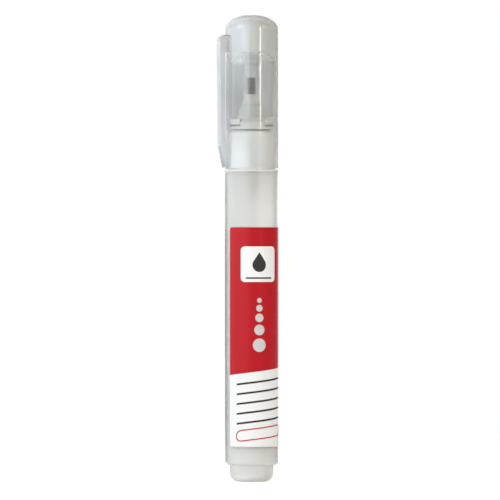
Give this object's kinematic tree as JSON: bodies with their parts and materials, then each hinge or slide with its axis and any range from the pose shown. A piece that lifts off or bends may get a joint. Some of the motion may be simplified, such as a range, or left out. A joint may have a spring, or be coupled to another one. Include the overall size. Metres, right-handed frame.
{
  "type": "correction pen",
  "caption": "Correction fluid pen with a clear pull-off clip cap, a white collar, a spring-valve metal tip and a frosted squeeze barrel with a wrapped label.",
  "frame": {"origin": "centre of the tail plug's flat end", "axes": "+Z along the pen from the tail to the crown of the cap, -X towards the pocket clip"},
  "size_m": [0.0173, 0.0152, 0.1317],
  "materials": {
    "frosted_barrel": "satin",
    "printed_film": "gloss",
    "white_fluid": "matte",
    "ball_steel": "polished",
    "white_collar": "satin",
    "natural_nozzle": "satin",
    "tip_metal": "polished",
    "spring_steel": "satin",
    "clear_cap": "gloss",
    "natural_liner": "satin",
    "seal_rubber": "matte"
  },
  "bodies": {
    "pen": {"barrel": "frosted_barrel", "end_plug": "frosted_barrel", "label": "printed_film", "correction_fluid": "white_fluid", "collar": "white_collar", "nozzle": "natural_nozzle", "metal_tip": "tip_metal", "spring_retainer": "natural_nozzle", "valve_spring": "spring_steel"},
    "cap": {"outer_cap": "clear_cap", "inner_cap": "natural_liner", "tip_seal": "seal_rubber"},
    "valve": {"valve_needle": "tip_metal"},
    "ball": {"mixing_ball": "ball_steel"}
  },
  "joints": [
    {"name": "cap_pull", "type": "slide", "parent": "pen", "child": "cap", "axis": [0, 0, 1], "range_m": [0, 0.045]},
    {"name": "valve_press", "type": "slide", "parent": "pen", "child": "valve", "axis": [0, 0, -1], "range_m": [0, 0.00045], "stiffness_N_per_m": 250, "springref_m": -0.002, "deforming": ["valve_spring"]},
    {"name": "ball_travel", "type": "slide", "parent": "pen", "child": "ball", "axis": [0, 0, 1], "range_m": [0, 0.068], "deforming": ["correction_fluid"]}
  ]
}
